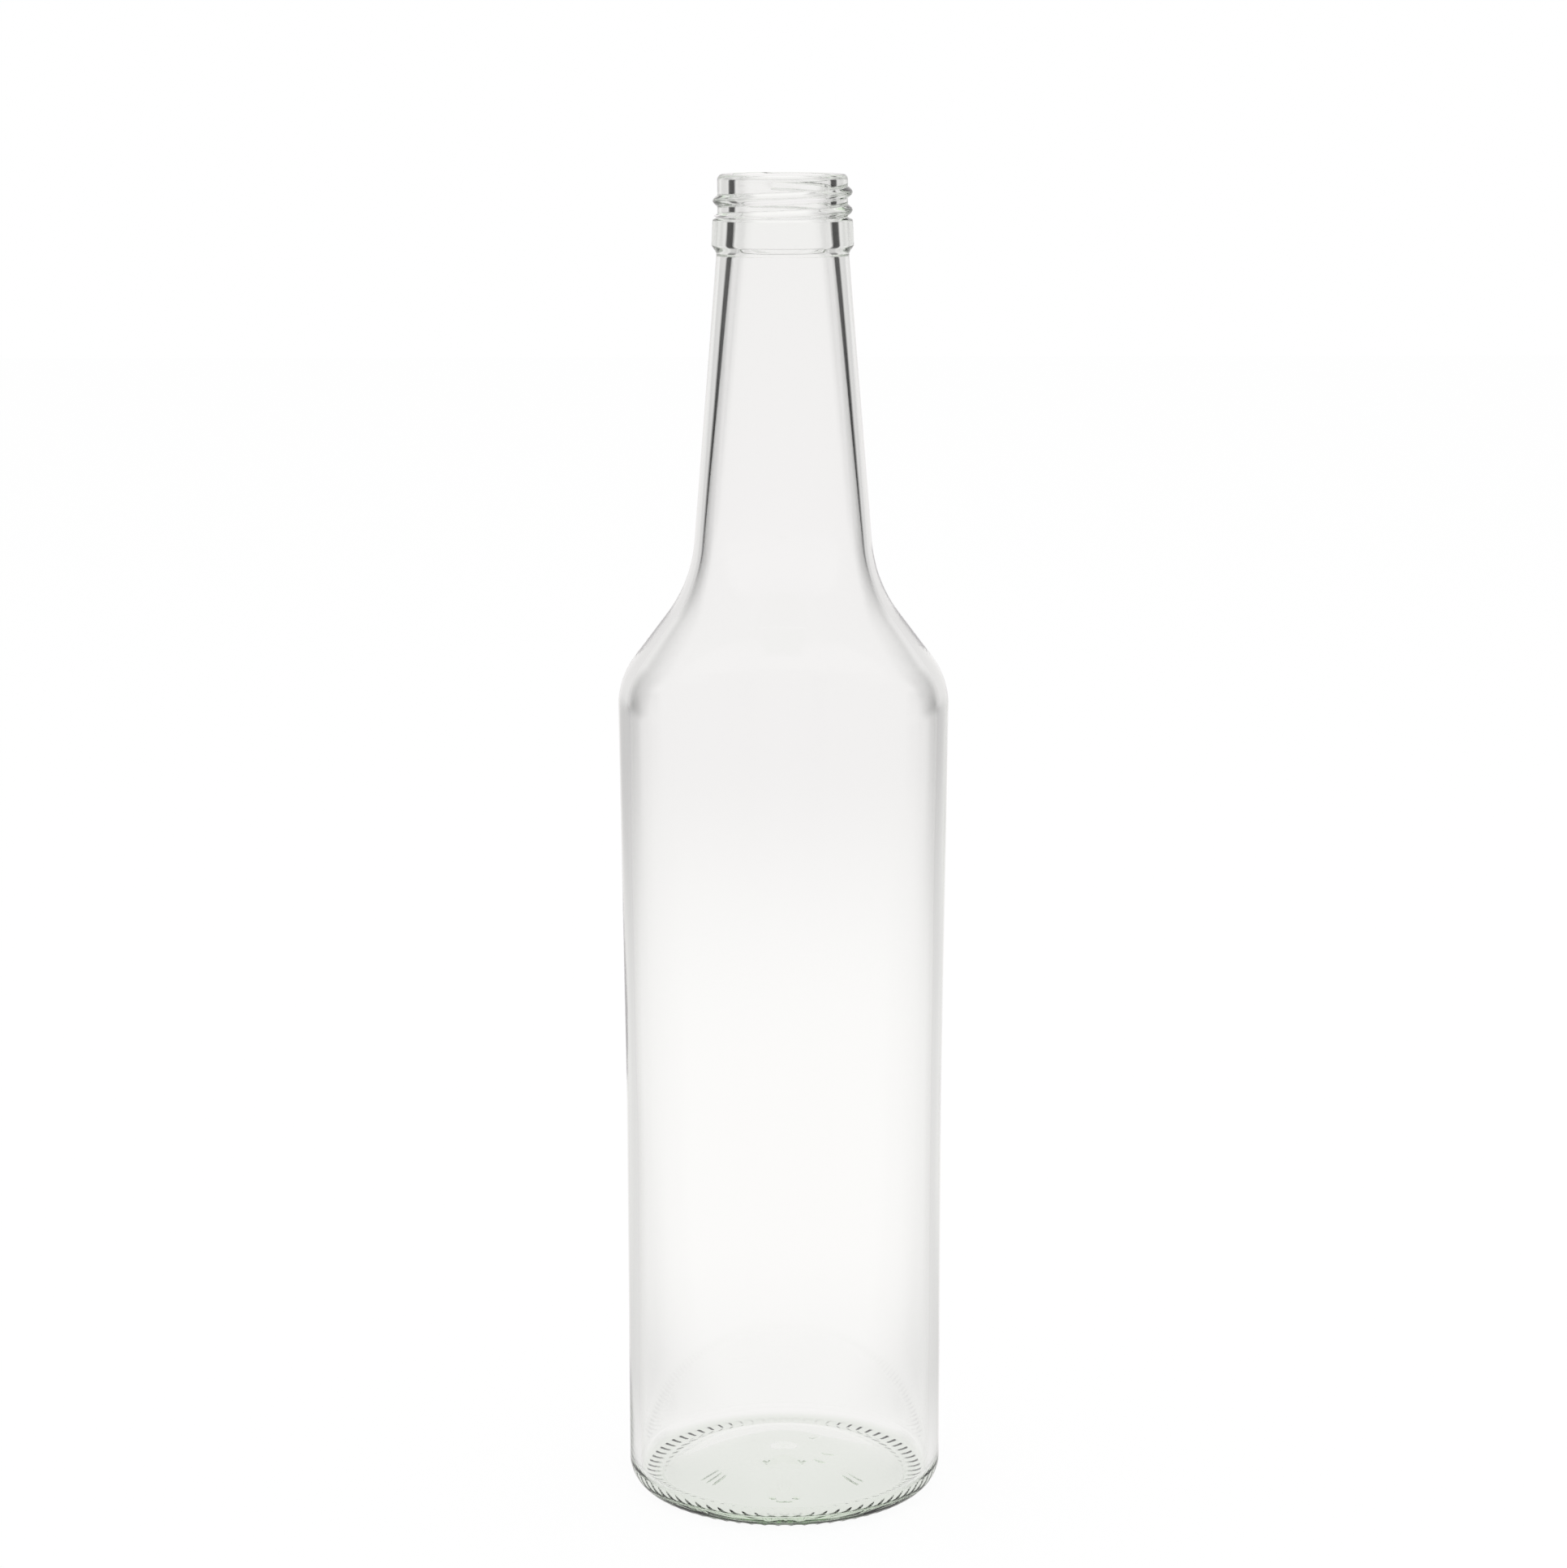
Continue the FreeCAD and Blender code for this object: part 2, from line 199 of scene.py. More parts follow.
@dataclass(frozen=True)
class GlassFinish:
    """Clear container glass: a smooth skin, faintly uneven, and a faint green body."""

    name: str = "clear_glass"
    index: float = 1.52
    roughness: float = 0.0
    body_colour: tuple[float, float, float] = (0.50, 0.74, 0.42)
    body_density: float = 8.0
    wave_scale: float = 45.0
    wave_strength: float = 0.03
    wave_depth: float = 0.15 * MM

    def build(self) -> bpy.types.Material:
        """Make the material: glass that light shines through, with a wavy skin."""
        material, nodes = empty_material(self.name)
        skin = nodes.node("ShaderNodeBsdfPrincipled")
        skin.inputs["Base Color"].default_value = (1.0, 1.0, 1.0, 1.0)
        skin.inputs["Transmission Weight"].default_value = 1.0
        skin.inputs["IOR"].default_value = self.index
        skin.inputs["Roughness"].default_value = self.roughness
        nodes.plug(self._waves(nodes), skin.inputs["Normal"])
        clear = nodes.node("ShaderNodeBsdfTransparent")
        light = nodes.node("ShaderNodeLightPath")
        mix = nodes.mix(light.outputs["Is Shadow Ray"], skin, clear)
        body = nodes.node("ShaderNodeVolumeAbsorption")
        body.inputs["Color"].default_value = (*self.body_colour, 1.0)
        body.inputs["Density"].default_value = self.body_density
        nodes.show(mix, body)
        return material

    def _waves(self, nodes: Tree) -> bpy.types.NodeSocket:
        """The slight unevenness of moulded glass, as a bump."""
        place = nodes.node("ShaderNodeTexCoord").outputs["Object"]
        noise = nodes.node("ShaderNodeTexNoise")
        nodes.plug(place, noise.inputs["Vector"])
        noise.inputs["Scale"].default_value = self.wave_scale
        noise.inputs["Detail"].default_value = 1.0
        bump = nodes.node("ShaderNodeBump")
        bump.inputs["Strength"].default_value = self.wave_strength
        bump.inputs["Distance"].default_value = self.wave_depth
        nodes.plug(noise.outputs[0], bump.inputs["Height"])
        return bump.outputs[0]


@dataclass(frozen=True)
class FloorFinish:
    """Matt white floor that looks white to the camera but keeps a faint shadow."""

    name: str = "white_floor"
    colour: tuple[float, float, float] = (0.9, 0.9, 0.9)
    glow: float = 0.93

    def build(self) -> bpy.types.Material:
        """Make the material: mostly its own white, the rest lit by the studio."""
        material, nodes = empty_material(self.name)
        matt = nodes.node("ShaderNodeBsdfDiffuse")
        matt.inputs["Color"].default_value = (*self.colour, 1.0)
        glow = nodes.node("ShaderNodeEmission")
        nodes.show(nodes.mix(self.glow, matt, glow))
        return material


@dataclass(frozen=True)
class TableFinish:
    """Pale table that only the glass sees.

    It glows with a painted shadow of the bottle under the foot, tinted green, painted light that
    brightens it a little away from the foot, and painted shade towards its two far corners, and it
    fades out far away. Angles are degrees from the direction straight behind the bottle, and the
    same on both sides.
    """

    name: str = "near_table"
    colour: tuple[float, float, float] = (1.0, 0.985, 0.985)
    glow: float = 0.95
    glow_radius: float = 0.038
    # The painted shadow of the bottle on the table under the foot, tinted green: its colour,
    # strength and reach.
    painted_shadow_colour: tuple[float, float, float] = (0.98, 1.0, 0.95)
    painted_shadow_level: float = 0.8
    painted_shadow_radius: float = 0.030
    # Painted light that makes the table a little brighter farther from the foot.
    far_glow: float = 0.05
    far_start: float = 0.05
    far_end: float = 0.16
    # Painted shade that greys the table's glow towards its two far corners.
    corner_painted_shade: float = 0.2
    corner_start_angle: float = 12.0
    corner_full_angle: float = 36.0
    corner_fall_angle: float = 75.0
    corner_end_angle: float = 95.0
    corner_start: float = 0.03
    corner_full: float = 0.09
    fade_start: float = 0.30
    fade_end: float = 0.85

    def build(self) -> bpy.types.Material:
        """Make the material: an emission that follows the place on the table."""
        material, nodes = empty_material(self.name)
        place = nodes.node("ShaderNodeTexCoord").outputs["Object"]
        away = nodes.node("ShaderNodeVectorMath", operation="LENGTH")
        nodes.plug(place, away.inputs[0])
        away = away.outputs["Value"]
        # Painted shadow of the bottle under the foot, tinted green, rising to the table's glow
        # beyond it.
        out_of_painted_shadow = nodes.ramp(away, self.painted_shadow_radius, self.glow_radius)
        painted_shadow_tint = nodes.node("ShaderNodeMixRGB")
        nodes.plug(out_of_painted_shadow, painted_shadow_tint.inputs["Fac"])
        painted_shadow_tint.inputs["Color1"].default_value = (*self.painted_shadow_colour, 1.0)
        painted_shadow_tint.inputs["Color2"].default_value = (*self.colour, 1.0)
        lit = nodes.math("MULTIPLY_ADD", out_of_painted_shadow, self.glow - self.painted_shadow_level, self.painted_shadow_level)
        # Painted light, a little brighter farther from the foot.
        far = nodes.ramp(away, self.far_start, self.far_end)
        lit = nodes.math("MULTIPLY_ADD", far, self.far_glow, lit)
        # Painted shade towards the two far corners.
        corner = self._corner(nodes, place, away)
        lit = nodes.math("MULTIPLY", lit,
                         nodes.math("MULTIPLY_ADD", corner, -self.corner_painted_shade, 1.0))
        glow = nodes.node("ShaderNodeEmission")
        nodes.plug(painted_shadow_tint.outputs[0], glow.inputs["Color"])
        nodes.plug(lit, glow.inputs["Strength"])
        clear = nodes.node("ShaderNodeBsdfTransparent")
        nodes.show(nodes.mix(nodes.ramp(away, self.fade_start, self.fade_end), glow, clear))
        return material

    def _corner(self, nodes: Tree, place: bpy.types.NodeSocket,
                away: bpy.types.NodeSocket) -> bpy.types.NodeSocket:
        """How far a place lies in one of the two far corners with painted shade, from 0 to 1."""
        across, along, _ = nodes.split(place)
        turn = nodes.math("ARCTAN2", nodes.math("ABSOLUTE", across), along)
        turn = nodes.math("DEGREES", turn)
        near = nodes.ramp(turn, self.corner_start_angle, self.corner_full_angle)
        beyond = nodes.ramp(turn, self.corner_end_angle, self.corner_fall_angle)
        out = nodes.ramp(away, self.corner_start, self.corner_full)
        return nodes.product(near, beyond, out)


@dataclass(frozen=True)
class DomeFinish:
    """The light that the glass sees around it, by the direction it comes from.

    The dome is pale all round and stands still. It is brightest straight behind the bottle
    and greyer to both sides of that, more so low down. Two dark cards stand there, far behind
    the bottle, and draw the dark lines in the walls of the neck and the finish. Angles are
    degrees: turns count from the direction straight behind the bottle, the same on both
    sides, and rises count up from the level.
    """

    name: str = "studio_dome"
    colour: tuple[float, float, float] = (1.0, 0.98, 0.985)
    back: float = 0.925
    back_fall: float = 0.32
    fall_start_turn: float = 9.0
    fall_end_turn: float = 22.0
    high_fall_cut: float = 0.6
    high_start_rise: float = -9.0
    high_end_rise: float = -5.5
    around: float = 0.8
    around_start_turn: float = 49.0
    around_end_turn: float = 58.0
    low_fall: float = 0.2
    low_start_rise: float = -22.0
    low_end_rise: float = -34.0
    card_near_turn: float = 41.5
    card_far_turn: float = 66.0
    card_soft_turn: float = 4.5
    card_foot_rise: float = -11.5
    card_body_rise: float = -5.0
    card_top_rise: float = 18.0
    card_end_rise: float = 40.0

    def build(self) -> bpy.types.Material:
        """Make the material: an emission whose strength follows the direction."""
        material, nodes = empty_material(self.name)
        glow = nodes.node("ShaderNodeEmission")
        glow.inputs["Color"].default_value = (*self.colour, 1.0)
        nodes.plug(self._strength(nodes), glow.inputs["Strength"])
        nodes.show(glow)
        return material

    def _strength(self, nodes: Tree) -> bpy.types.NodeSocket:
        """The brightness of the dome in the direction of the point on it."""
        place = nodes.node("ShaderNodeTexCoord").outputs["Object"]
        unit = nodes.node("ShaderNodeVectorMath", operation="NORMALIZE")
        nodes.plug(place, unit.inputs[0])
        right, up, back = nodes.split(unit.outputs[0])
        ahead = nodes.math("MULTIPLY", back, -1.0)
        turn = nodes.math("ARCTAN2", nodes.math("ABSOLUTE", right), ahead)
        turn = nodes.math("DEGREES", turn)
        rise = nodes.math("DEGREES", nodes.math("ARCSINE", up))
        fall = nodes.ramp(turn, self.fall_start_turn, self.fall_end_turn)
        fall = nodes.math("MULTIPLY", fall, self.back_fall)
        high = nodes.ramp(rise, self.high_start_rise, self.high_end_rise)
        fall = nodes.math("MULTIPLY", fall,
                          nodes.math("MULTIPLY_ADD", high, -self.high_fall_cut, 1.0))
        behind = nodes.math("SUBTRACT", self.back, fall)
        beside = nodes.ramp(turn, self.around_start_turn, self.around_end_turn)
        step = nodes.math("SUBTRACT", self.around, behind)
        total = nodes.math("MULTIPLY_ADD", step, beside, behind)
        low = nodes.ramp(rise, self.low_start_rise, self.low_end_rise)
        total = nodes.math("MULTIPLY", total,
                           nodes.math("MULTIPLY_ADD", low, -self.low_fall, 1.0))
        open_sky = nodes.math("SUBTRACT", 1.0, self._card(nodes, turn, rise))
        return nodes.product(total, open_sky)

    def _card(self, nodes: Tree, turn: bpy.types.NodeSocket,
              rise: bpy.types.NodeSocket) -> bpy.types.NodeSocket:
        """How much of a direction the two dark cards cover, from 0 to 1."""
        card = nodes.window(turn, self.card_near_turn, self.card_far_turn, self.card_soft_turn)
        above = nodes.ramp(rise, self.card_foot_rise, self.card_body_rise)
        below = nodes.ramp(rise, self.card_end_rise, self.card_top_rise)
        return nodes.product(card, above, below)


# ---------------------------------------------------------------- outline


@dataclass
class Corner:
    """A corner of the turned outline, rounded with an arc."""

    radius: float
    height: float
    rounding: float = 0.0
    arc_steps: int = 1


@dataclass
class Outline:
    """The turned outline of the glass: a chain of places with the side each lies on."""

    places: list[Place] = field(default_factory=list)
    sides: list[Side] = field(default_factory=list)

    def add(self, place: Place, side: Side) -> None:
        """Add one place, unless the chain already ends there."""
        if self.places and math.dist(self.places[-1], place) < 1e-7:
            return
        self.places.append(place)
        self.sides.append(side)

    def run_to(self, end: Place, side: Side, longest: float, holding: float) -> None:
        """Add a straight run, with a short step at both ends of a long one.

        Args:
            end: where the run ends.
            side: the side of the glass it lies on.
            longest: the longest step.
            holding: the short step that keeps the shading flat up to the run's ends.
        """
        start = self.places[-1]
        length = math.dist(start, end)
        stops = [0.0]
        if length > 3 * holding:
            inner = length - 2 * holding
            count = max(1, math.ceil(inner / longest))
            stops += [holding + inner * step / count for step in range(count + 1)]
        stops.append(length)
        for stop in stops[1:]:
            share = stop / length if length else 1.0
            across = start[0] + (end[0] - start[0]) * share
            up = start[1] + (end[1] - start[1]) * share
            self.add((across, up), side)

    def cut_at(self, height: float, side: Side) -> None:
        """Add a place where the outline passes a height, so that a sharp step can lie there.

        Args:
            height: the height to cut at.
            side: the side of the glass whose stretch is cut.
        """
        for row in range(len(self.places) - 1):
            start, end = self.places[row], self.places[row + 1]
            if self.sides[row] is side and start[1] < height < end[1]:
                share = (height - start[1]) / (end[1] - start[1])
                self.places.insert(row + 1, (start[0] + (end[0] - start[0]) * share, height))
                self.sides.insert(row + 1, side)
                return

    def row_of(self, side: Side, test: object) -> int:
        """The number of the first place on a side that a test holds for."""
        for row, (place, here) in enumerate(zip(self.places, self.sides)):
            if here is side and test(place):
                return row
        raise ValueError("no place of the outline passes the test")


def arc_of(before: Corner, corner: Corner, after: Corner) -> list[Place]:
    """The places along the arc that rounds one corner.

    Args:
        before: the corner before it.
        corner: the corner to round.
        after: the corner after it.

    Returns:
        The arc's places, its two ends among them, or the corner alone if it is sharp.
    """
    middle = Vector((corner.radius, corner.height))
    if corner.rounding <= 0:
        return [(middle.x, middle.y)]
    to_before = (Vector((before.radius, before.height)) - middle).normalized()
    to_after = (Vector((after.radius, after.height)) - middle).normalized()
    opening = to_before.angle(to_after)
    reach = corner.rounding / math.tan(opening / 2)
    bisector = (to_before + to_after).normalized()
    centre = middle + bisector * (corner.rounding / math.sin(opening / 2))
    start = middle + to_before * reach - centre
    end = middle + to_after * reach - centre
    sweep = math.atan2(start.x * end.y - start.y * end.x, start.dot(end))
    places = []
    for step in range(corner.arc_steps + 1):
        angle = sweep * step / corner.arc_steps
        cosine, sine = math.cos(angle), math.sin(angle)
        turned = Vector((start.x * cosine - start.y * sine, start.x * sine + start.y * cosine))
        places.append((centre.x + turned.x, centre.y + turned.y))
    return places


# ---------------------------------------------------------------- bottle


@dataclass
class Mark:
    """One small moulded mark under the base, seen from inside the bottle."""

    shape: MarkShape
    places: list[Place]


@dataclass
class GlassBottle:
    """The bottle: its sizes, its outline, the tree that turns it and its finish."""

    height: float
    finish: GlassFinish = field(default_factory=GlassFinish)
    # outside
    body_radius: float = 32.2 * MM
    shoulder_corner_radius: float = 33.25 * MM
    straight_height: float = 83.5 * MM
    body_height: float = 168.8 * MM
    shoulder_rounding: float = 15.8 * MM
    shoulder_rise: float = 19.7 * MM
    neck_root_radius: float = 18.4 * MM
    neck_root_rounding: float = 28.0 * MM
    neck_length: float = 65.2 * MM
    neck_top_margin: float = 0.2 * MM
    finish_radius: float = 12.85 * MM
    finish_height: float = 8.45 * MM
    collar_ledge: float = 0.4 * MM
    collar_height: float = 5.05 * MM
    collar_low_margin: float = 1.2 * MM
    collar_high_margin: float = 0.95 * MM
    edge_rounding: float = 0.35 * MM
    neck_top_rounding: float = 1.8 * MM
    collar_low_rounding: float = 1.0 * MM
    lip_outer_rounding: float = 1.1 * MM
    lip_inner_rounding: float = 0.7 * MM
    # inside
    body_wall: float = 2.2 * MM
    neck_root_wall: float = 1.8 * MM
    finish_wall: float = 3.3 * MM
    bore_length: float = 9.9 * MM
    # base
    heel_rounding: float = 5.2 * MM
    heel_inner_rounding: float = 3.2 * MM
    base_thickness: float = 3.9 * MM
    inner_plateau_drop: float = 1.4 * MM
    inner_plateau_rounding: float = 40.0 * MM
    plateau_radius: float = 14.0 * MM
    plateau_drop: float = 0.5 * MM
    plateau_rounding: float = 40.0 * MM
    foot_base_z: float = 2.8 * MM
    valley_rounding: float = 4.0 * MM
    inner_shift: float = 0.8 * MM
    foot_width: float = 2.45 * MM
    push_up: float = 4.0 * MM
    knurl_count: int = 68
    knurl_depth: float = 0.45 * MM
    rib_margin: float = 1.2 * MM
    rib_outer_share: float = 0.52
    rib_high_z: float = 1.7 * MM
    rib_low_z: float = 0.8 * MM
    rib_shallow_radius: float = 25.2 * MM
    rib_deep_radius: float = 28.8 * MM
    rib_shallow_share: float = 0.1
    rib_soft_edge: float = 0.9 * MM
    rib_bluntness: float = 0.8
    # thread
    thread_height: float = 0.9 * MM
    thread_half_width: float = 1.1 * MM
    thread_roundness: float = 1.2
    thread_pitch: float = 3.5 * MM
    thread_turns: float = 1.79
    thread_low_angle: float = math.pi
    thread_low_height: float = -0.3 * MM
    thread_low_margin: float = 0.02 * MM
    thread_taper: float = 7.0 * math.pi / 180
    # lug and marks
    lug_half_angle: float = 8.75 * math.pi / 180
    lug_from_corner: float = 6.1 * MM
    lug_edge: float = 0.12 * MM
    lug_side_edge: float = 0.7 * math.pi / 180
    lug_length: float = 5.0 * MM
    lug_edge_shares: tuple[float, float] = (0.9, 0.1)
    lug_height: float = 0.55 * MM
    mark_height: float = 0.4 * MM
    dot_radius: float = 0.55 * MM
    bar_half_width: float = 0.3 * MM
    mark_foot_share: float = 1.35
    mark_top_share: float = 0.35
    mark_depth_range: float = 0.5 * MM
    # unevenness of the inner face
    wave_depth: float = 0.22 * MM
    waves_per_metre: tuple[float, float, float] = (42.0, 42.0, 20.0)
    # density of the mesh
    columns: int = 204
    foot_columns_per_column: int = 4
    foot_zone_inner_margin: float = 0.2 * MM
    foot_zone_outer_margin: float = 0.9 * MM

    @property
    def lip_z(self) -> float:
        """The height of the lip, the top of the bottle."""
        return self.height

    @property
    def finish_z(self) -> float:
        """The height of the foot of the finish, on top of the collar."""
        return self.lip_z - self.finish_height

    @property
    def neck_root_z(self) -> float:
        """The height of the corner between the shoulder and the neck."""
        return self.body_height + self.shoulder_rise

    @property
    def lug_top_z(self) -> float:
        """The height of the lug's upper edge, on the shoulder."""
        return self.neck_root_z - self.lug_from_corner

    @property
    def underside_radius(self) -> float:
        """The radius of the plain middle of the underside."""
        return self.body_radius - self.heel_rounding - self.foot_width

    def outline(self) -> Outline:
        """The whole outline, from the middle of the underside to the middle of the inside."""
        line = Outline()
        line.add((0.0, self.push_up), Side.OUTSIDE)
        self._chain(line, self._outside(), Side.OUTSIDE)
        for step in (-self.lug_edge, 0.0, self.lug_edge):
            line.cut_at(self.lug_top_z + step, Side.OUTSIDE)
        self._chain(line, self._inside(), Side.INSIDE)
        return line

    def _chain(self, line: Outline, stretches: list[tuple[Corner, float]], side: Side) -> None:
        """Add corners in turn, with the longest step before each, rounding all but the last."""
        before = Corner(*line.places[-1])
        for index, (corner, longest) in enumerate(stretches):
            if index + 1 < len(stretches):
                arc = arc_of(before, corner, stretches[index + 1][0])
            else:
                arc = [(corner.radius, corner.height)]
            holding = min(0.35 * MM, longest)
            line.run_to(arc[0], side, longest, holding)
            for place in arc[1:]:
                line.add(place, side)
            before = corner

    def _outside(self) -> list[tuple[Corner, float]]:
        """The corners of the outside, from the underside to the crown of the lip."""
        collar_high_z = self.finish_z - self.collar_ledge
        collar_low_z = collar_high_z - self.collar_height
        neck_top_z = self.neck_root_z + self.neck_length
        radius = self.finish_radius
        crown = radius - self.finish_wall / 2
        edge = self.edge_rounding
        return [
            (Corner(self.plateau_radius, self.push_up - self.plateau_drop,
                    self.plateau_rounding, 8), 0.4 * MM),
            (Corner(self.underside_radius, 0.0, 1.0 * MM, 4), 0.35 * MM),
            (Corner(self.body_radius, 0.0, self.heel_rounding, 20), 0.4 * MM),
            (Corner(self.body_radius, self.straight_height, 300 * MM, 4), 9 * MM),
            (Corner(self.shoulder_corner_radius, self.body_height, self.shoulder_rounding, 12),
             9 * MM),
            (Corner(self.neck_root_radius, self.neck_root_z, self.neck_root_rounding, 22),
             0.33 * MM),
            (Corner(radius + self.neck_top_margin, neck_top_z, self.neck_top_rounding, 6), 8 * MM),
            (Corner(radius + self.collar_low_margin, collar_low_z,
                    self.collar_low_rounding, 6), 0.5 * MM),
            (Corner(radius + self.collar_high_margin, collar_high_z, edge, 5), 1.5 * MM),
            (Corner(radius, self.finish_z, 0.25 * MM, 3), 0.3 * MM),
            (Corner(radius, self.lip_z, self.lip_outer_rounding, 7), 0.135 * MM),
            (Corner(crown, self.lip_z), 0.5 * MM),
        ]

    def _inside(self) -> list[tuple[Corner, float]]:
        """The corners of the inside, from the crown of the lip to the middle of the base."""
        bore = self.finish_radius - self.finish_wall
        body = self.body_radius - self.body_wall
        run = self.shoulder_corner_radius - self.neck_root_radius
        shoulder_lean = math.atan2(run, self.shoulder_rise)
        neck_top = self.finish_radius + self.neck_top_margin
        neck_lean = math.atan2(self.neck_root_radius - neck_top, self.neck_length)
        mean_lean = (shoulder_lean + neck_lean) / 2
        mitre = self.neck_root_wall / math.cos((shoulder_lean - neck_lean) / 2)
        root = Corner(
            self.neck_root_radius - mitre * math.cos(mean_lean),
            self.neck_root_z - mitre * math.sin(mean_lean),
            self.neck_root_rounding + self.neck_root_wall,
            12,
        )
        shoulder = Corner(
            self.shoulder_corner_radius - self.body_wall,
            self.body_height - self.body_wall * math.tan(shoulder_lean / 2),
            self.shoulder_rounding - self.body_wall,
            12,
        )
        base_z = self.push_up + self.base_thickness
        heel = Corner(body, self.foot_base_z, self.heel_inner_rounding, 16)
        valley = Corner(self.underside_radius + self.inner_shift, self.foot_base_z,
                        self.valley_rounding, 6)
        plateau = Corner(self.plateau_radius + self.inner_shift,
                         base_z - self.inner_plateau_drop, self.inner_plateau_rounding, 8)
        return [
            (Corner(bore, self.lip_z, self.lip_inner_rounding, 6), 0.5 * MM),
            (Corner(bore, self.lip_z - self.bore_length, 40 * MM, 3), 2 * MM),
            (root, 5 * MM),
            (shoulder, 3 * MM),
            (Corner(body, self.straight_height, 300 * MM, 4), 8 * MM),
            (heel, 8 * MM),
            (valley, 1 * MM),
            (plateau, 1 * MM),
            (Corner(0.0, base_z), 2 * MM),
        ]

    def marks(self) -> list[Mark]:
        """The generic marks under the base: two pips, a code of dots and bars, a dotted ring."""
        marks = []
        for angle in (71, 106, 21, 146):
            marks.append(Mark(MarkShape.BAR, self._arc_bar(9.3 * MM, angle, 8.0)))
        for angle in (-13, -38, 48):
            marks.append(Mark(MarkShape.DOT, [self._polar(8.6 * MM, angle)]))
        for across in (-3.5 * MM, 3.5 * MM):
            marks.append(Mark(MarkShape.DOT, [(across, -6.0 * MM)]))
        for turn in range(10):
            ring = self._polar(2.6 * MM, turn * 36)
            marks.append(Mark(MarkShape.DOT, [(ring[0], ring[1] - 17.6 * MM)]))
        marks.append(Mark(MarkShape.DOT, [(0.0, -17.6 * MM)]))
        for angle in (-150, -145, -140, -41, -36):
            marks.append(Mark(MarkShape.BAR, [self._polar(16.6 * MM, angle),
                                              self._polar(18.2 * MM, angle)]))
        marks.append(Mark(MarkShape.DOT, [self._polar(17.4 * MM, -31)]))
        return marks

    @staticmethod
    def _polar(radius: float, degrees: float) -> Place:
        """A place on the base from its distance and direction from the axis."""
        angle = math.radians(degrees)
        return radius * math.cos(angle), radius * math.sin(angle)

    def _arc_bar(self, radius: float, degrees: float, spread: float) -> list[Place]:
        """A short bar along a circle about the axis."""
        turns = (degrees - spread / 2, degrees, degrees + spread / 2)
        return [self._polar(radius, turn) for turn in turns]

    def _outline_object(self, line: Outline) -> bpy.types.Object:
        """The outline as a chain of edges, with the side of the glass at each place."""
        mesh = bpy.data.meshes.new("outline")
        places = [(across, 0.0, up) for across, up in line.places]
        edges = [(row, row + 1) for row in range(len(places) - 1)]
        mesh.from_pydata(places, edges, [])
        sides = mesh.attributes.new("side", "FLOAT", "POINT")
        sides.data.foreach_set("value", [float(side.value) for side in line.sides])
        return self._linked("outline", mesh)

    def _marks_object(self, shape: MarkShape) -> bpy.types.Object:
        """The marks of one shape, as points or as short chains of edges."""
        places: list[tuple[float, float, float]] = []
        edges = []
        for mark in self.marks():
            if mark.shape is not shape:
                continue
            first = len(places)
            places += [(across, along, 0.0) for across, along in mark.places]
            edges += [(row, row + 1) for row in range(first, len(places) - 1)]
        mesh = bpy.data.meshes.new(f"marks_{shape.value}")
        mesh.from_pydata(places, edges, [])
        return self._linked(mesh.name, mesh)

    @staticmethod
    def _linked(name: str, mesh: bpy.types.Mesh) -> bpy.types.Object:
        """A new object in the scene for a mesh."""
        piece = bpy.data.objects.new(name, mesh)
        bpy.context.scene.collection.objects.link(piece)
        return piece

    # ------------------------------------------------------------ the tree

    def _tree(self) -> bpy.types.NodeTree:
        """The tree that turns the outline and raises the relief on it."""
        tree = bpy.data.node_groups.new("bottle_lathe", "GeometryNodeTree")
        wanted = [
            ("Outline", "NodeSocketGeometry"),
            ("Dots", "NodeSocketObject"),
            ("Bars", "NodeSocketObject"),
            ("Rows", "NodeSocketInt"),
            ("Foot First Row", "NodeSocketInt"),
            ("Foot Last Row", "NodeSocketInt"),
            ("Columns", "NodeSocketInt"),
            ("Foot Fineness", "NodeSocketInt"),
            ("Rib Count", "NodeSocketFloat"),
            ("Rib Depth", "NodeSocketFloat"),
            ("Thread Height", "NodeSocketFloat"),
            ("Thread Pitch", "NodeSocketFloat"),
            ("Thread Turns", "NodeSocketFloat"),
            ("Lug Height", "NodeSocketFloat"),
            ("Mark Height", "NodeSocketFloat"),
            ("Wave Depth", "NodeSocketFloat"),
            ("Glass", "NodeSocketMaterial"),
        ]
        for name, kind in wanted:
            tree.interface.new_socket(name=name, in_out="INPUT", socket_type=kind)
        tree.interface.new_socket(name="Bottle", in_out="OUTPUT", socket_type="NodeSocketGeometry")
        nodes = Tree(tree)
        source = nodes.node("NodeGroupInput").outputs
        glass = self._turned(nodes, source)
        glass = self._relief(nodes, source, glass)
        smooth = nodes.node("GeometryNodeSetShadeSmooth")
        nodes.plug(glass, smooth.inputs["Geometry"])
        real = nodes.node("GeometryNodeRealizeInstances")
        nodes.plug(smooth.outputs[0], real.inputs["Geometry"])
        coat = nodes.node("GeometryNodeSetMaterial")
        nodes.plug(real.outputs[0], coat.inputs["Geometry"])
        nodes.plug(source["Glass"], coat.inputs["Material"])
        output = nodes.node("NodeGroupOutput")
        nodes.plug(coat.outputs[0], output.inputs["Bottle"])
        return tree

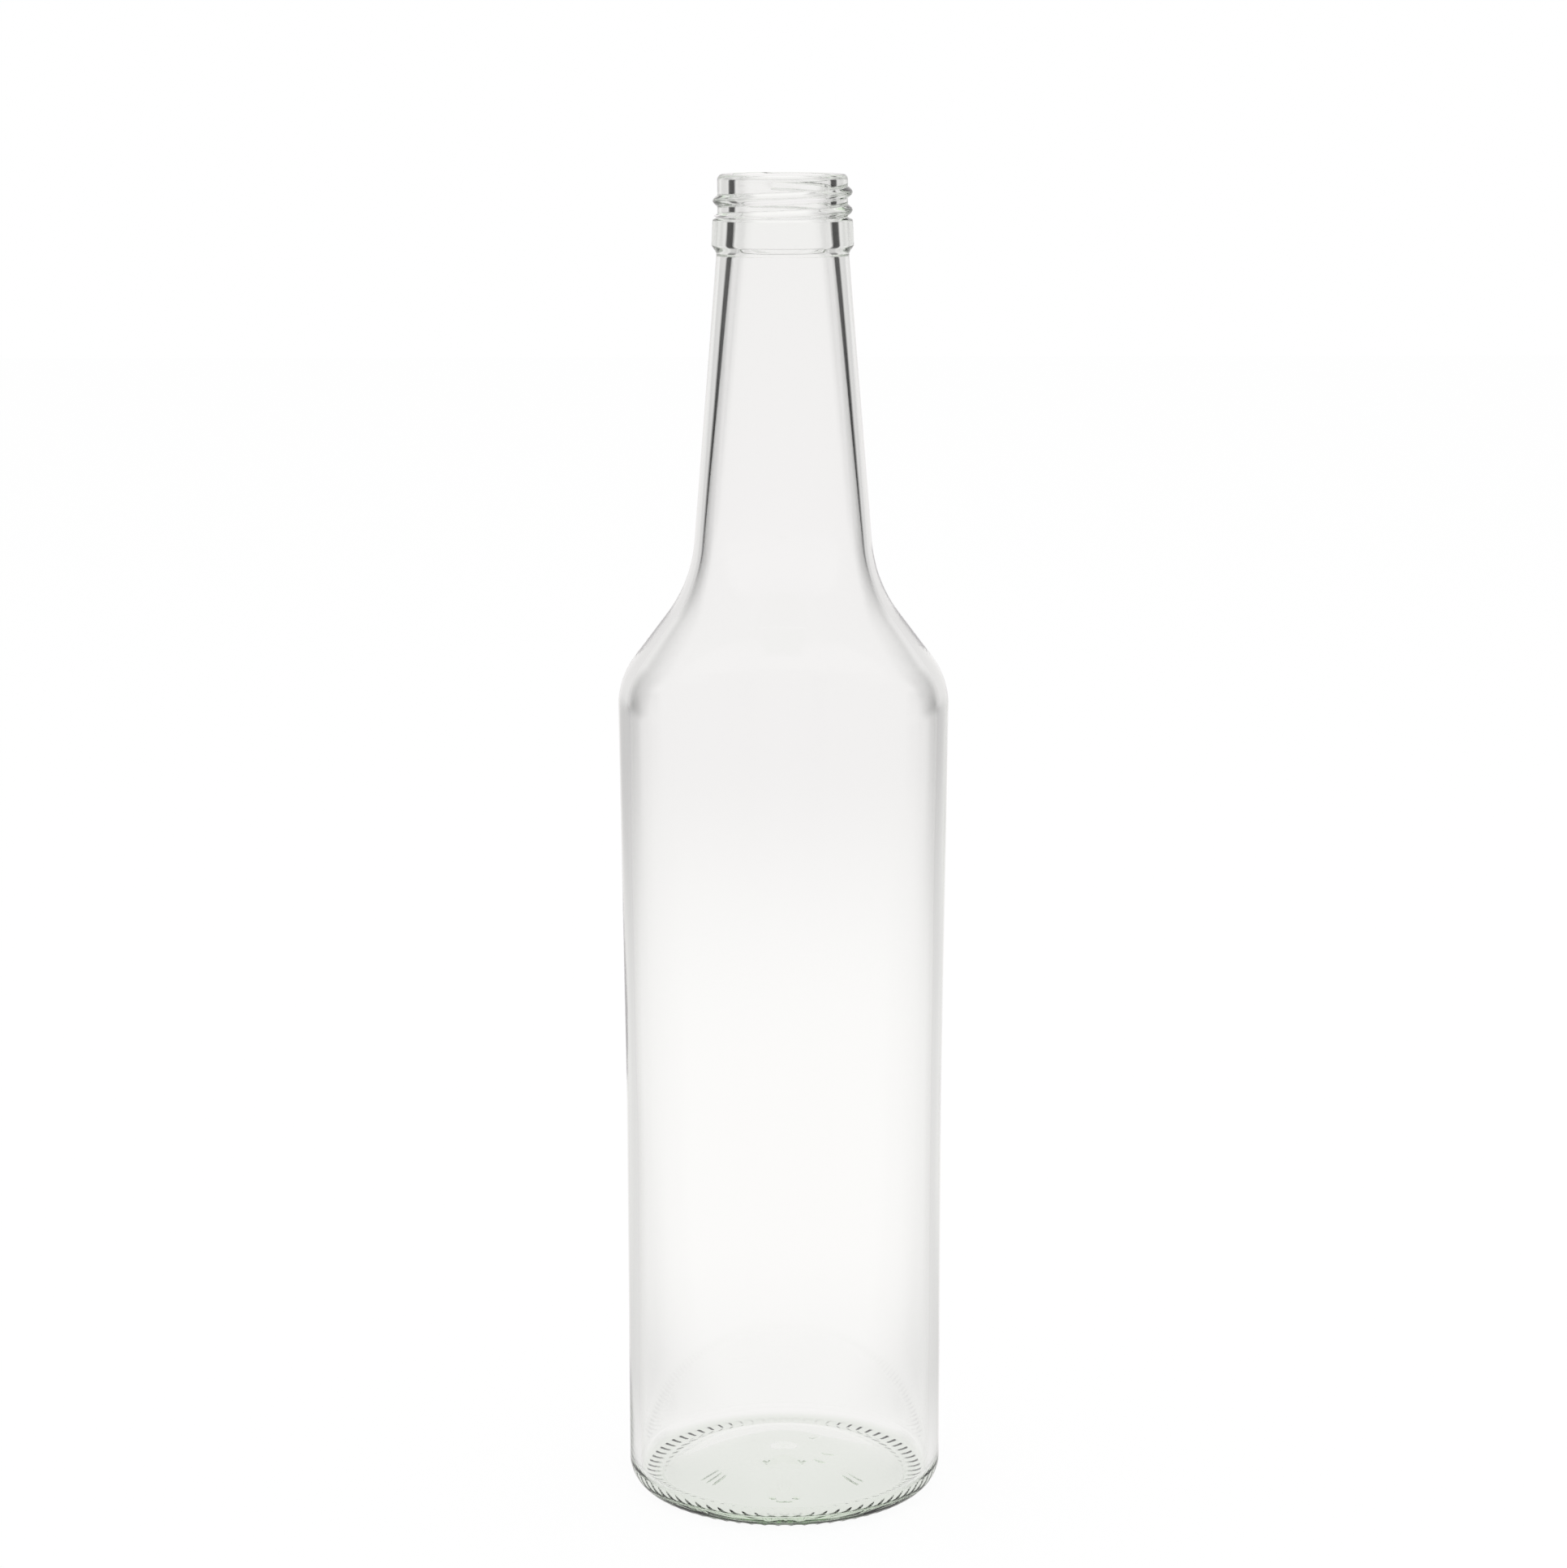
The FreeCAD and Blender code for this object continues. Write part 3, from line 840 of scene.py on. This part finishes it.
    def _turned(self, nodes: Tree, source: object) -> bpy.types.NodeSocket:
        """Turn the outline in three zones, the foot finer than the rest, and weld them.

        Args:
            nodes: the tree under construction.
            source: the tree's inputs.

        Returns:
            The closed surface of the glass, before its relief.
        """
        first, last, rows = source["Foot First Row"], source["Foot Last Row"], source["Rows"]
        fine = nodes.math("MULTIPLY", source["Columns"], source["Foot Fineness"])
        one = 1.0
        zones = nodes.node("GeometryNodeJoinGeometry")
        for start, end, columns, snap in (
            (0.0, first, source["Columns"], one),
            (first, last, fine, source["Foot Fineness"]),
            (last, nodes.math("SUBTRACT", rows, 1.0), source["Columns"], one),
        ):
            zone = self._zone(nodes, source, start, end, columns, snap)
            nodes.tree.links.new(zone, zones.inputs[0])
        weld = nodes.node("GeometryNodeMergeByDistance")
        nodes.plug(zones.outputs[0], weld.inputs["Geometry"])
        weld.inputs["Distance"].default_value = WELD_DISTANCE
        return weld.outputs[0]

    def _zone(self, nodes: Tree, source: object, start: object, end: object,
              columns: object, snap: object) -> bpy.types.NodeSocket:
        """Turn one stretch of the outline.

        Args:
            nodes: the tree under construction.
            source: the tree's inputs.
            start: the zone's first row of the outline.
            end: its last row.
            columns: how many columns go round.
            snap: how many columns run together in the zone's first and last row.

        Returns:
            The zone's open surface, its rows still unwelded.
        """
        count = nodes.math("ADD", nodes.math("SUBTRACT", end, start), 1.0)
        grid = nodes.node("GeometryNodeMeshGrid")
        nodes.plug(nodes.math("ADD", columns, 1.0), grid.inputs["Vertices X"])
        nodes.plug(count, grid.inputs["Vertices Y"])
        index = nodes.node("GeometryNodeInputIndex").outputs[0]
        column = nodes.math("FLOOR", nodes.math("DIVIDE", nodes.math("ADD", index, 0.5), count))
        row = nodes.math("SUBTRACT", index, nodes.math("MULTIPLY", column, count))
        at_start = nodes.math("LESS_THAN", row, 0.5)
        at_end = nodes.math("GREATER_THAN", row, nodes.math("SUBTRACT", count, 1.5))
        at_rim = nodes.math("ADD", at_start, at_end, clamp=True)
        step = nodes.math("MULTIPLY_ADD", at_rim, nodes.math("SUBTRACT", snap, 1.0), 1.0)
        column = nodes.math("MULTIPLY", nodes.math("ROUND", nodes.math("DIVIDE", column, step)),
                            step)
        turn = nodes.math("MULTIPLY", nodes.math("DIVIDE", column, columns), 2 * math.pi)
        outline_row = nodes.math("ROUND", nodes.math("ADD", row, start))
        place = self._sample(nodes, source["Outline"], "FLOAT_VECTOR",
                             nodes.node("GeometryNodeInputPosition").outputs[0], outline_row)
        side = nodes.node("GeometryNodeInputNamedAttribute", data_type="FLOAT")
        side.inputs["Name"].default_value = "side"
        side = self._sample(nodes, source["Outline"], "FLOAT", side.outputs[0], outline_row)
        radius, _, height = nodes.split(place)
        across = nodes.math("MULTIPLY", radius, nodes.math("COSINE", turn))
        along = nodes.math("MULTIPLY", radius, nodes.math("SINE", turn))
        keep = nodes.node("GeometryNodeStoreNamedAttribute", data_type="FLOAT", domain="POINT")
        nodes.plug(grid.outputs["Mesh"], keep.inputs["Geometry"])
        keep.inputs["Name"].default_value = "inside"
        nodes.plug(side, keep.inputs["Value"])
        move = nodes.node("GeometryNodeSetPosition")
        nodes.plug(keep.outputs[0], move.inputs["Geometry"])
        nodes.plug(nodes.join(across, along, height), move.inputs["Position"])
        return move.outputs[0]

    @staticmethod
    def _sample(nodes: Tree, outline: bpy.types.NodeSocket, kind: str,
                value: bpy.types.NodeSocket, row: bpy.types.NodeSocket) -> bpy.types.NodeSocket:
        """Read a value of the outline at a row."""
        sample = nodes.node("GeometryNodeSampleIndex", data_type=kind, domain="POINT")
        nodes.plug(outline, sample.inputs["Geometry"])
        nodes.plug(value, sample.inputs["Value"])
        nodes.plug(row, sample.inputs["Index"])
        return sample.outputs[0]

    def _relief(self, nodes: Tree, source: object,
                glass: bpy.types.NodeSocket) -> bpy.types.NodeSocket:
        """Move the surface along its normal by the sum of its relief.

        Args:
            nodes: the tree under construction.
            source: the tree's inputs.
            glass: the plain turned surface.

        Returns:
            The surface with its thread, ribs, lug, marks and unevenness.
        """
        place = nodes.node("GeometryNodeInputPosition").outputs[0]
        across, along, height = nodes.split(place)
        flat = nodes.join(across, along, 0.0)
        length = nodes.node("ShaderNodeVectorMath", operation="LENGTH")
        nodes.plug(flat, length.inputs[0])
        radius = length.outputs["Value"]
        angle = nodes.math("ARCTAN2", along, across)
        inside = nodes.node("GeometryNodeInputNamedAttribute", data_type="FLOAT")
        inside.inputs["Name"].default_value = "inside"
        outside = nodes.math("SUBTRACT", 1.0, inside.outputs[0])
        parts = [
            self._thread(nodes, source, angle, height),
            self._lug(nodes, source, angle, height),
            self._ribs(nodes, source, angle, radius, height),
            self._marks(nodes, source, flat, radius, height),
        ]
        total = parts[0]
        for part in parts[1:]:
            total = nodes.math("ADD", total, part)
        total = nodes.math("MULTIPLY", total, outside)
        waves = nodes.math("MULTIPLY", self._inner_waves(nodes, source, place), inside.outputs[0])
        total = nodes.math("ADD", total, waves)
        normal = nodes.node("GeometryNodeInputNormal").outputs[0]
        move = nodes.node("GeometryNodeSetPosition")
        nodes.plug(glass, move.inputs["Geometry"])
        nodes.plug(nodes.scale(normal, total), move.inputs["Offset"])
        return move.outputs[0]

    def _thread(self, nodes: Tree, source: object, angle: object,
                height: object) -> bpy.types.NodeSocket:
        """The height of the thread's ridge, which tapers at both ends of its turns."""
        low_z = self.finish_z + self.thread_low_height
        turn = nodes.math("DIVIDE", nodes.math("SUBTRACT", angle, self.thread_low_angle),
                          2 * math.pi)
        turn = nodes.math("SUBTRACT", turn, nodes.math("FLOOR", turn))
        climb = nodes.math("DIVIDE", nodes.math("SUBTRACT", height, low_z), source["Thread Pitch"])
        lap = nodes.math("ROUND", nodes.math("SUBTRACT", climb, turn))
        travelled = nodes.math("ADD", lap, turn)
        away = nodes.math("SUBTRACT", climb, travelled)
        away = nodes.math("MULTIPLY", nodes.math("ABSOLUTE", away), source["Thread Pitch"])
        taper = self.thread_taper / (2 * math.pi)
        begin = nodes.ramp(travelled, -taper, taper)
        end = nodes.math("SUBTRACT", source["Thread Turns"], travelled)
        end = nodes.ramp(end, -taper, taper)
        run_out = nodes.math("MULTIPLY", begin, end)
        share = nodes.math("DIVIDE", away, self.thread_half_width)
        share = nodes.math("MINIMUM", share, 1.0)
        round_top = nodes.math("SUBTRACT", 1.0, nodes.math("MULTIPLY", share, share))
        round_top = nodes.math("POWER", round_top, self.thread_roundness)
        above_ledge = nodes.math("GREATER_THAN", height, self.finish_z - self.thread_low_margin)
        return nodes.product(round_top, run_out, source["Thread Height"], above_ledge)

    def _lug(self, nodes: Tree, source: object, angle: object,
             height: object) -> bpy.types.NodeSocket:
        """The height of the wedge on the front of the shoulder."""
        top = self.lug_top_z
        off = nodes.math("ABSOLUTE", nodes.math("SUBTRACT", angle, BOTTOM))
        beside = nodes.ramp(off, self.lug_half_angle + self.lug_side_edge,
                            self.lug_half_angle - self.lug_side_edge)
        rise = nodes.math("DIVIDE", nodes.math("SUBTRACT", height, top - self.lug_length),
                          self.lug_length)
        rise = nodes.math("MAXIMUM", rise, 0.0)
        high, low = self.lug_edge_shares
        below_top = nodes.ramp(height, top + self.lug_edge * high, top + self.lug_edge * low)
        return nodes.product(rise, below_top, beside, source["Lug Height"])

    def _ribs(self, nodes: Tree, source: object, angle: object, radius: object,
              height: object) -> bpy.types.NodeSocket:
        """The depth of the grooves between the ribs that roughen the foot."""
        inner = self.underside_radius + self.rib_margin
        outer = self.body_radius - self.heel_rounding * self.rib_outer_share
        zone = nodes.window(radius, inner, outer, self.rib_soft_edge)
        low = nodes.ramp(height, self.rib_high_z, self.rib_low_z)
        wave = nodes.math("COSINE", nodes.math("MULTIPLY", angle, source["Rib Count"]))
        groove = nodes.math("MULTIPLY_ADD", wave, 0.5, 0.5)
        groove = nodes.math("POWER", groove, self.rib_bluntness)
        deeper = nodes.ramp(radius, self.rib_shallow_radius, self.rib_deep_radius)
        deeper = nodes.math("MULTIPLY_ADD", deeper, 1.0 - self.rib_shallow_share,
                            self.rib_shallow_share)
        return nodes.product(groove, deeper, zone, low, source["Rib Depth"], -1.0)

    def _marks(self, nodes: Tree, source: object, flat: object, radius: object,
               height: object) -> bpy.types.NodeSocket:
        """The height of the dots and bars under the base."""
        marks = None
        for name, target, reach in (
            ("Dots", "POINTS", self.dot_radius),
            ("Bars", "EDGES", self.bar_half_width),
        ):
            info = nodes.node("GeometryNodeObjectInfo")
            nodes.plug(source[name], info.inputs["Object"])
            near = nodes.node("GeometryNodeProximity", target_element=target)
            nodes.plug(info.outputs["Geometry"], near.inputs[0])
            position = next(s for s in near.inputs if s.name in ("Sample Position",
                                                                 "Source Position"))
            nodes.plug(flat, position)
            height_here = nodes.ramp(near.outputs["Distance"], reach * self.mark_foot_share,
                                     reach * self.mark_top_share)
            marks = height_here if marks is None else nodes.math("MAXIMUM", marks, height_here)
        under = nodes.math("LESS_THAN", height, self.push_up + self.mark_depth_range)
        plain = nodes.math("LESS_THAN", radius, self.underside_radius)
        return nodes.product(marks, under, plain, source["Mark Height"])

    def _inner_waves(self, nodes: Tree, source: object,
                     place: bpy.types.NodeSocket) -> bpy.types.NodeSocket:
        """The slow unevenness that blowing leaves on the inner face."""
        stretch = nodes.node("ShaderNodeVectorMath", operation="MULTIPLY")
        nodes.plug(place, stretch.inputs[0])
        stretch.inputs[1].default_value = self.waves_per_metre
        noise = nodes.node("ShaderNodeTexNoise")
        nodes.plug(stretch.outputs[0], noise.inputs["Vector"])
        noise.inputs["Scale"].default_value = 1.0
        noise.inputs["Detail"].default_value = 1.0
        level = nodes.math("SUBTRACT", noise.outputs[0], 0.5)
        return nodes.math("MULTIPLY", level, source["Wave Depth"])

    # ------------------------------------------------------------ making it

    def build(self) -> bpy.types.Object:
        """Turn the bottle and return it as one plain mesh with its finish.

        Returns:
            The finished piece, at the origin, unturned and unscaled.
        """
        line = self.outline()
        base = self._outline_object(line)
        dots = self._marks_object(MarkShape.DOT)
        bars = self._marks_object(MarkShape.BAR)
        foot_inner = self.underside_radius - self.foot_zone_inner_margin
        foot_outer = self.body_radius - self.foot_zone_outer_margin
        first = line.row_of(Side.OUTSIDE, lambda place: place[0] >= foot_inner)
        last = line.row_of(Side.OUTSIDE, lambda place: place[0] >= foot_outer)
        material = self.finish.build()
        inputs = {
            "Dots": dots,
            "Bars": bars,
            "Rows": len(line.places),
            "Foot First Row": first,
            "Foot Last Row": last,
            "Columns": self.columns,
            "Foot Fineness": self.foot_columns_per_column,
            "Rib Count": float(self.knurl_count),
            "Rib Depth": self.knurl_depth,
            "Thread Height": self.thread_height,
            "Thread Pitch": self.thread_pitch,
            "Thread Turns": self.thread_turns,
            "Lug Height": self.lug_height,
            "Mark Height": self.mark_height,
            "Wave Depth": self.wave_depth,
            "Glass": material,
        }
        tree = self._tree()
        modifier = base.modifiers.new("lathe", "NODES")
        modifier.node_group = tree
        for item in tree.interface.items_tree:
            if item.in_out == "INPUT" and item.name in inputs:
                modifier[item.identifier] = inputs[item.name]
        graph = bpy.context.evaluated_depsgraph_get()
        mesh = bpy.data.meshes.new_from_object(base.evaluated_get(graph))
        base.modifiers.remove(modifier)
        for spare in (base, dots, bars):
            bpy.data.objects.remove(spare)
        mesh.name = "bottle_glass"
        self._point_outwards(mesh)
        bottle = self._linked("bottle_glass", mesh)
        if not mesh.materials:
            mesh.materials.append(material)
        LOG.info("bottle_glass: %d rows, %d faces", len(line.places), len(mesh.polygons))
        return bottle

    @staticmethod
    def _point_outwards(mesh: bpy.types.Mesh) -> None:
        """Turn the faces round if the closed surface is inside out."""
        shell = bmesh.new()
        shell.from_mesh(mesh)
        if shell.calc_volume(signed=True) < 0:
            bmesh.ops.reverse_faces(shell, faces=shell.faces)
        shell.to_mesh(mesh)
        shell.free()


# ---------------------------------------------------------------- studio


@dataclass
class Studio:
    """The floor, the table and dome that only the glass sees, the lamp, world and camera."""

    camera_distance: float = 0.7573
    camera_height: float = 0.2921
    camera_tilt: float = 10.828
    camera_roll: float = -0.086
    lens: float = 87.66
    floor_size: float = 6.0
    dome_radius: float = 5.0
    dome_z: float = 0.12
    lamp_power: float = 6.0
    lamp_size: float = 1.2
    lamp_height: float = 1.6
    table_z: float = -0.4 * MM
    floor: FloorFinish = field(default_factory=FloorFinish)
    table: TableFinish = field(default_factory=TableFinish)
    dome: DomeFinish = field(default_factory=DomeFinish)

    def build(self) -> None:
        """Set up everything around the bottle."""
        self._world()
        self._floor()
        self._near_table()
        self._camera()
        self._dome()
        self._lamp()

    @staticmethod
    def _world() -> None:
        """A plain white world."""
        world = bpy.data.worlds.new("white_world")
        bpy.context.scene.world = world
        world.use_nodes = True
        sky = world.node_tree.nodes["Background"]
        sky.inputs["Color"].default_value = (1.0, 1.0, 1.0, 1.0)
        sky.inputs["Strength"].default_value = 1.0

    def _floor(self) -> None:
        """A wide floor under the bottle, which the glass sees through to the dome."""
        bpy.ops.mesh.primitive_plane_add(size=self.floor_size, location=(0.0, 0.0, 0.0))
        floor = bpy.context.object
        floor.name = "floor"
        floor.data.materials.append(self.floor.build())
        floor.visible_glossy = False
        floor.visible_transmission = False

    def _near_table(self) -> None:
        """The pale table round the foot, as the glass sees it, glowing with a painted shadow under
        the foot and fading out far away.
        """
        bpy.ops.mesh.primitive_circle_add(vertices=96, radius=self.table.fade_end,
                                          fill_type="NGON", location=(0.0, 0.0, self.table_z))
        table = bpy.context.object
        table.name = "near_table"
        # The table's glow holds a painted shadow under the foot and painted shade towards its far
        # corners.
        table.data.materials.append(self.table.build())
        table.visible_camera = False
        table.visible_diffuse = False
        table.visible_shadow = False
        table.visible_glossy = False

    def _camera(self) -> None:
        """The camera, in front of the bottle and a little above it, looking down."""
        data = bpy.data.cameras.new("camera")
        data.lens = self.lens
        data.clip_end = 50.0
        camera = bpy.data.objects.new("camera", data)
        camera.location = (0.0, -self.camera_distance, self.camera_height)
        level = Euler((math.radians(90.0 - self.camera_tilt), 0.0, 0.0)).to_matrix()
        roll = Matrix.Rotation(math.radians(self.camera_roll), 3, "Z")
        camera.rotation_euler = (level @ roll).to_euler()
        bpy.context.scene.collection.objects.link(camera)
        bpy.context.scene.camera = camera

    def _dome(self) -> None:
        """A closed dome that stands round the studio, level with the floor."""
        bpy.ops.mesh.primitive_uv_sphere_add(segments=96, ring_count=48, radius=self.dome_radius,
                                             location=(0.0, 0.0, self.dome_z))
        dome = bpy.context.object
        dome.name = "studio_dome"
        for face in dome.data.polygons:
            face.use_smooth = True
        dome.data.materials.append(self.dome.build())
        dome.rotation_euler = (math.radians(90.0), 0.0, 0.0)
        dome.visible_camera = False
        dome.visible_diffuse = False
        dome.visible_shadow = False

    def _lamp(self) -> None:
        """One wide soft lamp above, for the floor's shadow."""
        data = bpy.data.lights.new("soft_lamp", "AREA")
        data.shape = "SQUARE"
        data.size = self.lamp_size
        data.energy = self.lamp_power
        lamp = bpy.data.objects.new("soft_lamp", data)
        lamp.location = (0.0, 0.0, self.lamp_height)
        lamp.visible_glossy = False
        lamp.visible_transmission = False
        bpy.context.scene.collection.objects.link(lamp)


def main() -> None:
    """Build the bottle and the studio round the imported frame."""
    logging.basicConfig(level=logging.INFO, format="%(name)s: %(message)s")
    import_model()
    scene = bpy.context.scene
    scene.view_settings.view_transform = "Standard"
    scene.cycles.max_bounces = GLASS_BOUNCES
    scene.cycles.transmission_bounces = GLASS_BOUNCES
    scene.cycles.glossy_bounces = GLASS_BOUNCES
    lowest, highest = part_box(NODE)
    Studio().build()
    bottle = GlassBottle(height=highest.z - lowest.z)
    piece = bottle.build()
    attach(piece, BODY)
    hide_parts(NODE)
    LOG.info("bottle_glass rides on %s and stands for %s", BODY, NODE)


if __name__ == "__main__":
    main()
